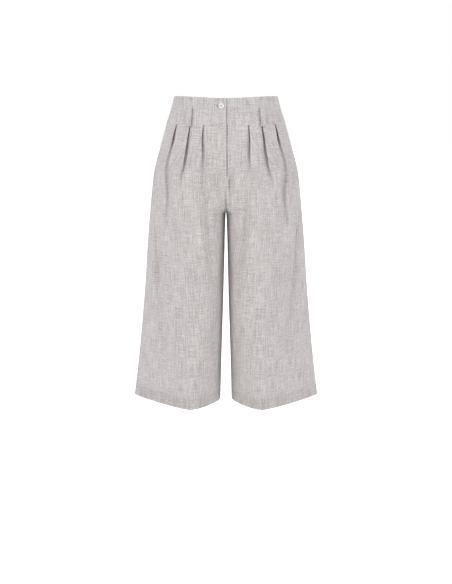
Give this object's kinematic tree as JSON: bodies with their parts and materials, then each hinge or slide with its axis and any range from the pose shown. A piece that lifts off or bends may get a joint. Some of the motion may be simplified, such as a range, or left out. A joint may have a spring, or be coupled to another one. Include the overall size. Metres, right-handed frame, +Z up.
{
  "type": "culottes",
  "caption": "Wide cropped trousers with a deep contoured waistband, belt loops, a buttoned fly front and open pleats on each front.",
  "frame": {"origin": "the middle of the waist, half way up the waistband at the side seams", "axes": "+Z up, the front faces -Y, +X towards the wearer's left"},
  "size_m": [0.4694, 0.2743, 0.7505],
  "materials": {
    "linen": "matt plain-weave linen with a fine slub",
    "shell": "polished pearly shell"
  },
  "bodies": {
    "root": {"front_right": "linen", "front_left": "linen", "back_right": "linen", "back_left": "linen", "waistband_right": "linen", "waistband_left": "linen", "waistband_back": "linen", "fly_shield": "linen", "belt_loop_front_right": "linen", "belt_loop_front_left": "linen", "belt_loop_back_right": "linen", "belt_loop_back_left": "linen", "button": "shell"}
  },
  "joints": []
}
